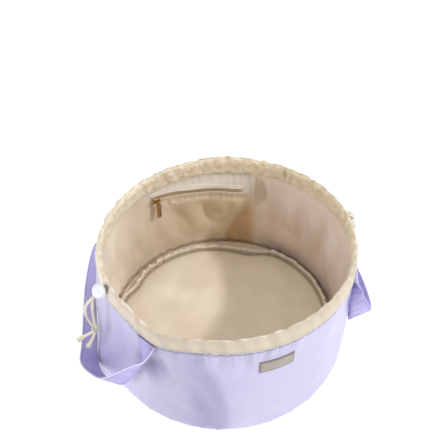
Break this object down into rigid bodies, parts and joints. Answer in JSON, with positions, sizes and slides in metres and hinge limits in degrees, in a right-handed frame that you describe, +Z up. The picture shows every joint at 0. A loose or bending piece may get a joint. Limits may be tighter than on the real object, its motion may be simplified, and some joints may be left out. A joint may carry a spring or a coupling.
{
  "type": "drawstring cosmetic bag",
  "caption": "Open round drawstring cosmetic bag with cloth wall and lining, padded floor, cord tunnel with stoppers, side straps, inner zip pocket and a hanging flap.",
  "frame": {"origin": "centre of the base, on the surface that the bag stands on", "axes": "+Z up, -Y towards the front with the label, +Y towards the back with the flap and the zip pocket, the cords leave at -X and +X"},
  "size_m": [0.3298, 0.2742, 0.1626],
  "materials": {
    "outer_cloth": "satin",
    "strap_cloth": "satin",
    "lining_cloth": "satin",
    "casing_cloth": "matte",
    "cord_cotton": "matte",
    "stopper_plastic": "gloss",
    "zip_brass": "satin",
    "label_cloth": "matte"
  },
  "bodies": {
    "bag": {"outer_base": "outer_cloth", "outer_wall": "outer_cloth", "lining_wall": "lining_cloth", "lining_floor": "lining_cloth", "floor_binding": "lining_cloth", "casing": "casing_cloth", "drawstring_left": "cord_cotton", "drawstring_right": "cord_cotton", "strap_left": "strap_cloth", "strap_right": "strap_cloth", "cord_left_a": "cord_cotton", "cord_left_b": "cord_cotton", "cord_right_a": "cord_cotton", "cord_right_b": "cord_cotton", "toggle_left": "stopper_plastic", "toggle_right": "stopper_plastic", "knot_left": "cord_cotton", "knot_right": "cord_cotton", "zip_tape": "lining_cloth", "zip_coil": "zip_brass", "zip_slider": "zip_brass", "label_patch": "label_cloth", "flap": "outer_cloth", "flap_binding": "casing_cloth"},
    "pull": {"zip_pull": "zip_brass"}
  },
  "joints": [
    {"name": "pull_swing", "type": "hinge", "parent": "bag", "child": "pull", "pos_m": [-0.03108, 0.11209, 0.10883], "axis": [-0.9636, -0.2672, 0], "range_deg": [0, 150]}
  ]
}
